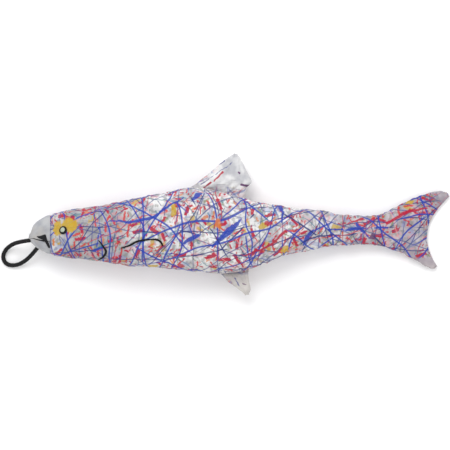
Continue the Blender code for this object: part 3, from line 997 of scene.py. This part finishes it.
fins = {
    "clearance": 0.0006,
    "thickness": 0.008,
    "droop": 0.004,
    "stations": 40,
    "columns": 56,
    "sunk": 0.0016,
    "bendOver": 0.0045,
}
dorsalFin = {
    "name": "dorsal_fin", "side": 1, "root": (-0.0371, 0.003), "height": 0.0244,
    "shift": 0.060, "seed": 31.0,
    # front edge's run and rise, back edge's run and rise, half thickness,
    # and how far it follows the body
    "rows": (
        (0.000, 0.000, 0.000, 0.000, 0.25, 1.0),
        (0.090, 0.110, 0.040, 0.270, 0.75, 0.6),
        (0.202, 0.255, 0.140, 0.490, 1.00, 0.2),
        (0.327, 0.415, 0.107, 0.680, 1.00, 0.0),
        (0.476, 0.630, 0.030, 0.930, 0.90, 0.0),
        (0.638, 0.840, -0.035, 1.144, 0.70, 0.0),
        (0.756, 0.965, -0.090, 1.276, 0.40, 0.0),
        (0.810, 1.000, -0.125, 1.316, 0.16, 0.0),
    ),
}
analFin = {
    "name": "anal_fin", "side": -1, "root": (-0.0145, 0.0066), "height": 0.0154,
    "shift": -0.060, "seed": 47.0,
    "rows": (
        (0.000, 0.000, 0.000, 0.000, 0.25, 1.0),
        (0.142, 0.208, 0.014, 0.260, 0.70, 0.5),
        (0.346, 0.474, 0.038, 0.571, 0.85, 0.0),
        (0.569, 0.700, 0.066, 0.805, 0.80, 0.0),
        (0.735, 0.864, 0.066, 0.994, 0.60, 0.0),
        (0.858, 0.987, 0.010, 1.155, 0.20, 0.0),
    ),
}


def finRoot(fin, x):
    back, belly, _, seam = bodyRow((x - fish["nose"]) / fish["length"])
    y = back + fins["clearance"] if fin["side"] > 0 else belly - fins["clearance"]
    return np.array((x, y, seam))


def finSection(fin, place):
    frontRun, frontRise, backRun, backRise, half, follow = rowAt(fin["rows"], place)
    front, back = (finRoot(fin, x) for x in fin["root"])
    length = fin["root"][1] - fin["root"][0]
    middle = finRoot(fin, sum(fin["root"]) / 2)
    curve = (middle - (front + back) / 2) * follow
    drop = -fins["droop"] * max(frontRise, 0)
    first = front + (frontRun * length, fin["side"] * frontRise * fin["height"], drop)
    second = back + (backRun * length, fin["side"] * backRise * fin["height"], drop)
    return first, second, half * fins["thickness"] / 2, curve, 0.0


def makeFin(fin, cloth, fibre):
    columns = fins["columns"]
    half = columns // 2
    angles = np.linspace(0, 2 * math.pi, columns, endpoint=False)
    places = np.linspace(0, len(fin["rows"]) - 1, fins["stations"])
    sections = [finSection(fin, place) for place in places]
    smoothGrid = np.array([ring(section, angles) for section in sections])
    sunk = smoothGrid[:1] - (0, fin["side"] * fins["sunk"], 0)
    smoothGrid = np.concatenate([sunk, smoothGrid])
    turned = outward(smoothGrid, closed=True) * fin["side"]
    # creases fan out from the root and run in from the sewn edge
    steps = np.linalg.norm(smoothGrid - smoothGrid[:1], axis=2)
    spread = np.cos(angles)[None, :] * np.ones_like(steps) * 0.02
    fan = np.stack([spread, steps * 0.15, np.zeros_like(steps)], axis=2)
    crease = ripple(fan, 0.0045, fin["seed"]) + 0.6 * ripple(smoothGrid, 0.0055, fin["seed"] + 3)
    edge = np.abs(np.sin(angles))[None, :]
    rows = np.arange(len(smoothGrid))[:, None]
    fade = softStep(rows, 1, 8) * (0.35 + 0.65 * edge)
    groove = 0.0004 * np.exp(-(edge / 0.12) ** 2)
    grid = smoothGrid + turned * (0.0007 * crease * fade - groove)[..., None]
    held = np.zeros(grid.shape[:2], bool)
    held[:, 0] = held[:, half] = True
    held[:4] = held[-1:] = True
    if fin["side"] < 0:  # the belly fin's rings run the other way, so it's turned for the swelling
        grid = grid[:, ::-1]
        held = held[:, ::-1]
    grid = swellCloth(fin["name"] + "Bag", grid, held.ravel(), 0.0001)
    if fin["side"] < 0:
        grid = grid[:, ::-1]

    front, back = (finRoot(fin, x) for x in fin["root"])
    ahead = (back - front) / np.linalg.norm(back - front)
    outside = np.array((-ahead[1], ahead[0], 0)) * fin["side"]
    outside /= np.linalg.norm(outside)
    start = (front + back) / 2 + outside * 0.0005
    end = start + outside * fins["bendOver"]
    whole = closedEdge(np.concatenate([grid, grid[:, :1]], axis=1), outside)
    plainWhole = closedEdge(np.concatenate([smoothGrid, smoothGrid[:, :1]], axis=1), outside)
    for side, word, first in ((1, "left", 0), (-1, "right", half)):
        outer, plain, thickness = oneSide(whole, plainWhole, first, side)
        place = np.stack([
            plain[..., 0], plain[..., 1] + fin["shift"], np.full(plain.shape[:2], (1 - side) / 2),
        ], axis=2)
        up = np.abs(plain[..., 1] - plain[:1, :, 1].mean()) / fin["height"]
        frontness = np.linspace(*((1, 0) if first == 0 else (0, 1)), outer.shape[1])[None, :]
        share = 0.5 * (1 - softStep(up, 0.05, 0.30))
        frontShare = 0.55 * softStep(frontness, 0.72, 0.92) * (1 - softStep(up, 0.55, 0.95))
        share = np.maximum(share, frontShare)
        normals = outward(outer) * fin["side"]
        name = f"{fin['name']}Skin_{word}"
        piece = clothPiece(name, outer, normals, place.reshape(-1, 3), share.ravel(), thickness)
        piece.data.materials.append(cloth)
        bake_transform(piece)
        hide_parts(f"{fin['name']}_panel_{word}")
    inner = [finSection(fin, place) for place in places[2:-4]]
    rings = np.array([ring(s, angles[::2], min(0.0017, 0.5 * s[2])) for s in inner])
    filling = closedLoft(fin["name"] + "Filling", rings, bowed=True)
    filling.data.materials.append(fibre)
    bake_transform(filling)
    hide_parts(f"{fin['name']}_stuffing")
    print(fin["name"], "made")


# snout, jaw and mouth

snout = {
    "stations": 26,
    "mouthAngle": 112,
    "opening": 7,
    "lipRoll": ((0.6, 0.0004), (0.2, 0.0010), (-1.5, 0.0017)),  # degrees back from the lip, and inset
    "tipScale": (0.35, 0.75, 0.93),
    "tipAhead": (0.0010, 0.0008, 0.0004),
}


def noseRings(angles, insets):
    # rings of points from the tip of the nose to the join with the printed cloth
    shares = np.linspace(0, 1, snout["stations"]) ** 1.35 * (fish["snoutEnd"] - 0.0005)
    rings = []
    for share in shares:
        section = bodySection(share)
        rows = [ring(section, np.array([a]), i)[0] for a, i in zip(angles, insets)]
        rings.append(rows)
    rings = np.array(rings)
    first, second, _, _, _ = bodySection(0)
    middle = (first + second) / 2
    tips = []
    for scale, ahead in zip(snout["tipScale"], snout["tipAhead"]):
        tips.append(middle + (rings[0] - middle) * scale - (ahead, 0, 0))
    return np.concatenate([np.array(tips), rings])


def noseCloth(name, degrees, insets, cloth, side, seed):
    angles = np.radians(degrees)
    plain = noseRings(angles, np.zeros(len(angles)))
    grid = noseRings(angles, insets)
    normals = outward(plain)
    fromJoin = (along(fish["snoutEnd"]) - plain[..., 0])
    out = 0.0003 * ripple(plain, 0.007, seed) - 0.0007 * np.exp(-(fromJoin / 0.0011) ** 2)
    fold = plain.copy()
    fold[..., 0] *= 0.25
    out += 0.00022 * ripple(fold, 0.0022, seed + 4) * np.exp(-fromJoin / 0.005)
    grid = grid + normals * out[..., None]
    grid = finer(finer(grid, 0), 1)
    flat = finer(finer(plain, 0), 1)
    middle = acrossCloth(flat)
    half = np.full(middle.shape, 0.5 - side / 2)
    place = np.stack([flat[..., 0], middle + side * 0.02, half], axis=2)
    thickness = np.full(middle.shape, fish["cloth"] * 0.6)
    normals = outward(grid)
    piece = clothPiece(name, grid, normals, place.reshape(-1, 3), np.zeros(middle.size), thickness)
    piece.data.materials.append(cloth)
    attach(piece, "torso")
    return piece


def makeSnout(cloth):
    lip = snout["mouthAngle"] - snout["opening"] / 2
    jawLip = snout["mouthAngle"] + snout["opening"] / 2
    roll = np.array(snout["lipRoll"])
    upper = np.concatenate([np.linspace(0, lip, 30), lip + roll[:, 0]])
    upperInset = np.concatenate([np.zeros(30), roll[:, 1]])
    left = noseCloth("snoutSkin_left", upper, upperInset, cloth, 1, 61.0)
    right = noseCloth("snoutSkin_right", -upper[::-1], upperInset[::-1], cloth, -1, 67.0)
    chin = np.linspace(jawLip, 360 - jawLip, 48)
    lower = np.concatenate([(jawLip - roll[:, 0])[::-1], chin, 360 - jawLip + roll[:, 0]])
    lowerInset = np.concatenate([roll[::-1, 1], np.zeros(48), roll[:, 1]])
    jaw = noseCloth("jawSkin", lower, lowerInset, cloth, 0, 71.0)
    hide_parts("snout_panel_left")
    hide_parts("snout_panel_right")
    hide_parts("jaw_panel")
    print("snout and jaw made")


mouth = {
    "outline": (
        (0.0053, -0.0089), (0.0084, -0.0085), (0.0110, -0.0076), (0.0121, -0.0078), (0.0127, -0.0095),
        (0.0134, -0.0120), (0.0145, -0.0147), (0.0151, -0.0169), (0.0150, -0.0177), (0.0142, -0.0169),
        (0.0127, -0.0142), (0.0112, -0.0122), (0.0088, -0.0108), (0.0063, -0.0098),
    ),
    "lift": 0.0004,
    "puff": 0.0006,
    # its size as a share, and how far it stands up in lifts, with any above one in puffs
    "profile": ((1.0, -0.0003), (1.0, 0.25), (0.97, 0.7), (0.88, 1.0), (0.6, 1.1), (0.3, 1.15)),
}


def surfacePoint(x, y, side, lift):
    # a point this far off the cloth, and the direction square to it
    share = (x - fish["nose"]) / fish["length"]
    heights = []
    for dx, dy in ((0, 0), (0.0005, 0), (-0.0005, 0), (0, 0.0005), (0, -0.0005)):
        section = bodySection(share + dx / fish["length"])
        top, bottom = section[0][1], section[1][1]
        across = (y + dy - (top + bottom) / 2) / (top - bottom) * 2
        heights.append(ring(section, np.array([side * math.acos(max(-1, min(1, across)))]))[0][2])
    z, ahead, behind, up, down = heights
    normal = np.array((-(ahead - behind) / 0.001, -(up - down) / 0.001, 1.0)) * side
    normal /= np.linalg.norm(normal)
    return np.array((x, y, z)) + normal * lift, normal


def feltFinish():
    f = Finish("blackFelt", {"Roughness": 0.9, "Specular IOR Level": 0.2, "Sheen Weight": 0.2})
    where = f.add("ShaderNodeTexCoord", {}, {}, "Object") * 1000.0
    fuzz = f.noise(where, 0.3, 4.0)
    colour = f.mix(fuzz.smooth(0.4, 0.75), tint("08080B"), tint("26262C"))
    return f.paint(colour, fuzz, 0.0002, 0.6)


def makeMouth():
    felt = feltFinish()
    outline = [rowAt(mouth["outline"] + mouth["outline"][:1], p)
               for p in np.linspace(0, len(mouth["outline"]), 60, endpoint=False)]
    outline = np.array(outline) + (fish["nose"], 0)
    middle = outline.mean(axis=0)
    lip = math.radians(snout["mouthAngle"])
    spread = math.radians(snout["opening"] * 1.3)
    for side, word in ((1, "left"), (-1, "right")):
        rings = []
        for scale, lift in mouth["profile"]:
            off = mouth["lift"] * min(lift, 1) + mouth["puff"] * max(lift, 0) if lift > 0 else lift
            places = middle + (outline - middle) * scale
            rings.append([surfacePoint(*place, side, off)[0] for place in places])
        patch = closedLoft(f"mouthPatch_{word}", np.array(rings))
        # the dark inside of the mouth, a strip behind the lips
        strip = []
        for share in np.linspace(0.0008, 0.034, 24):
            section = bodySection(share)
            strip.append(ring(section, side * np.linspace(lip - spread, lip + spread, 7), 0.0012))
        strip = np.array(strip)
        lining = faceOutward(meshObject("lining", strip.reshape(-1, 3), gridFaces(*strip.shape[:2])))
        thicken = lining.modifiers.new("thick", "SOLIDIFY")
        thicken.thickness = 0.0004
        thicken.offset = 0
        bpy.context.view_layer.objects.active = patch
        for piece in (patch, lining):
            piece.select_set(True)
        with bpy.context.temp_override(object=lining, active_object=lining):
            bpy.ops.object.modifier_apply(modifier="thick")
        with bpy.context.temp_override(active_object=patch, selected_editable_objects=[patch, lining]):
            bpy.ops.object.join()
        patch.data.materials.clear()
        patch.data.materials.append(felt)
        patch.select_set(False)
        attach(patch, "torso")
        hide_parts(f"mouth_patch_{word}")
    print("mouth made")


# embroidery

thread = {
    "pitch": 0.00058,
    "ridge": 0.26,
    "height": 0.00058,
    "lean": 0.4,
}
gillWidths = (0.0008, 0.0011, 0.0016, 0.0018, 0.0018, 0.0016, 0.0014, 0.0010)
pectoralWidths = (0.0009, 0.0013, 0.0017, 0.0018, 0.0016, 0.0012, 0.0016, 0.0019, 0.0012)


def threadFinish(name, dark, pale):
    f = Finish(name, {"Roughness": 0.6, "Specular IOR Level": 0.2, "Sheen Weight": 0.05})
    where = f.add("ShaderNodeTexCoord", {}, {}, "Object") * 1000.0
    twist = f.noise(where * (1.0, 1.0, 2.0), 0.12, 2.0)
    colour = f.mix(twist.smooth(0.35, 0.75), tint(dark), tint(pale))
    return f.paint(colour, twist, 0.00004, 0.5, roughness=0.55 + 0.25 * twist)


def clothTree(side):
    # the finished skin of one side, to lay thread on
    grid = surfaces[side]
    rows, columns = grid.shape[:2]
    return BVHTree.FromPolygons([Vector(p) for p in grid.reshape(-1, 3)], gridFaces(rows, columns))


def layOn(tree, x, y, side):
    start = Vector((x, y, side * 0.1 + 0.02))
    hit, normal, _, _ = tree.ray_cast(start, Vector((0, 0, -side)))
    if normal.z * side < 0:
        normal = -normal
    return np.array(hit), np.array(normal)


def satin(name, path, normals, widths, closed=False):
    # a raised line of close slanted stitches, laid along a path on the cloth
    ahead = np.gradient(path, axis=0)
    if closed:
        ahead = np.roll(path, -1, axis=0) - np.roll(path, 1, axis=0)
    ahead /= np.linalg.norm(ahead, axis=1, keepdims=True)
    across = np.cross(ahead, normals)
    across /= np.linalg.norm(across, axis=1, keepdims=True)
    steps = np.linalg.norm(np.diff(path, axis=0), axis=1)
    run = np.concatenate([[0], np.cumsum(steps)])[:, None]
    angles = np.linspace(0, 2 * math.pi, 16, endpoint=False)[None, :]
    slide = np.cos(angles) * widths[:, None] / 2
    phase = 2 * math.pi * (run + thread["lean"] * slide) / thread["pitch"]
    ridges = 1 - thread["ridge"] * (0.5 - 0.5 * np.cos(phase))
    tall = thread["height"] * np.clip(widths[:, None] / 0.001, 0.7, 1.5)
    rise = tall * (0.35 + 0.65 * np.sin(angles)) * np.where(np.sin(angles) > 0, ridges, 0.6)
    sideways = across[:, None] * (slide * ridges)[..., None]
    rings = path[:, None] + sideways + normals[:, None] * rise[..., None]
    if not closed:
        return closedLoft(name, rings)
    rows, columns = rings.shape[:2]
    faces = gridFaces(rows, columns, closed=True)
    faces += [((rows - 1) * columns + j, (rows - 1) * columns + (j + 1) % columns, (j + 1) % columns, j)
              for j in range(columns)]
    return faceOutward(meshObject(name, rings.reshape(-1, 3), faces))


def raiseToFloor(piece):
    # thread under the fish is pressed flat by what the fish lies on
    for v in piece.data.vertices:
        v.co.z = max(v.co.z, 0.00005)


def makeStitches(black):
    lines = (("gill", gillLine, gillWidths), ("pectoral", pectoralLine, pectoralWidths))
    for side, word in ((1, "left"), (-1, "right")):
        tree = clothTree(side)
        for name, line, widths in lines:
            rough = linePoints(line, 200)
            length = np.linalg.norm(np.diff(rough, axis=0), axis=1).sum()
            count = int(length / thread["pitch"] * 6)
            points = linePoints(line, count)
            laid = [layOn(tree, x, y, side) for x, y in points]
            path = np.array([p for p, _ in laid])
            normals = np.array([n for _, n in laid])
            kernel = np.ones(9) / 9
            for _ in range(2):  # the line bridges the cloth's small wrinkles
                for i in range(3):
                    path[4:-4, i] = np.convolve(path[:, i], kernel, "same")[4:-4]
                    normals[4:-4, i] = np.convolve(normals[:, i], kernel, "same")[4:-4]
            normals /= np.linalg.norm(normals, axis=1, keepdims=True)
            width = np.interp(np.linspace(0, 1, count), np.linspace(0, 1, len(widths)), widths)
            ends = np.minimum(np.arange(count), np.arange(count)[::-1])
            width = width * np.sqrt(np.clip(ends / 5, 0.05, 1))
            piece = satin(f"{name}Stitch_{word}", path, normals, width)
            raiseToFloor(piece)
            piece.data.materials.append(black)
            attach(piece, "torso")
            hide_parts(f"{name}_stitch_{word}")
    print("embroidered lines made")


eye = {
    "x": 0.0253,
    "y": -0.0043,
    "radius": 0.0025,
    "thin": 0.0010,
    "thick": 0.0024,
    "heavyAt": -38,  # degrees round the eye where its ring is thickest
    "domeHeight": 0.0010,
    "dome": (  # the dome's radius and height, as shares
        (1.0, -0.5), (1.0, 0.05), (0.93, 0.35), (0.8, 0.6),
        (0.6, 0.82), (0.4, 0.93), (0.2, 0.99), (0.05, 1.0),
    ),
}


def makeEyes(black):
    pale = threadFinish("eyeThread", "8F9A86", "C9D0C0")
    for side, word in ((1, "left"), (-1, "right")):
        tree = clothTree(side)
        x, y = fish["nose"] + eye["x"], eye["y"]
        centre, normal = layOn(tree, x, y, side)
        ahead = np.cross((0.0, 1.0, 0.0), normal)
        ahead /= np.linalg.norm(ahead)
        up = np.cross(normal, ahead) * side
        ahead = ahead * side
        count = 168
        turn = np.linspace(0, 2 * math.pi, count, endpoint=False)
        heavy = 0.5 + 0.5 * np.cos(turn - math.radians(eye["heavyAt"]))
        widths = eye["thin"] + (eye["thick"] - eye["thin"]) * heavy**1.5
        radius = eye["radius"] - 0.12 * (widths - eye["thin"])
        forwards = ahead * (radius * np.cos(turn))[:, None]
        upwards = up * (radius * np.sin(turn))[:, None]
        path = centre + normal * 0.0001 + forwards + upwards
        ringPiece = satin(f"eyeRing_{word}", path, np.tile(normal, (count, 1)), widths, closed=True)
        raiseToFloor(ringPiece)
        ringPiece.data.materials.append(black)
        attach(ringPiece, "torso")
        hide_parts(f"eye_ring_{word}")

        rings = []
        spokes = np.linspace(0, 2 * math.pi, 48, endpoint=False)
        inner = eye["radius"] - 0.0003
        for r, h in eye["dome"]:
            forwards = ahead * (inner * r * np.cos(spokes))[:, None]
            flat = forwards + up * (inner * r * np.sin(spokes))[:, None]
            stitch = 0.00006 * np.cos(2 * math.pi * inner * r * np.cos(spokes + 0.5) / 0.0004)
            rings.append(centre + flat + normal * (eye["domeHeight"] * h + stitch * (h > 0))[:, None])
        dome = closedLoft(f"eyeCentre_{word}", np.array(rings))
        dome.data.materials.append(pale)
        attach(dome, "torso")
        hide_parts(f"eye_centre_{word}")
    print("eyes made")


makeCamera()
makeStudio()
makeElastic()
printCloth = printedFinish()
# snout and jaw cloth: its grey is partly the plain cloth's own colour and partly painted shade of the
# curved snout, darker than the fins' white
plainClothWithPaintedShade = plainFinish("plainClothWithPaintedShade", "ACADAF", "94969D", "A39D95")
fibre = fibreFinish()
blackThread = threadFinish("blackThread", "050507", "1D1D22")
makeSkin(printCloth)
makeStuffing(fibre)
makeFin(dorsalFin, printCloth, fibre)
makeFin(analFin, printCloth, fibre)
makeSnout(plainClothWithPaintedShade)
makeMouth()
makeStitches(blackThread)
makeEyes(blackThread)
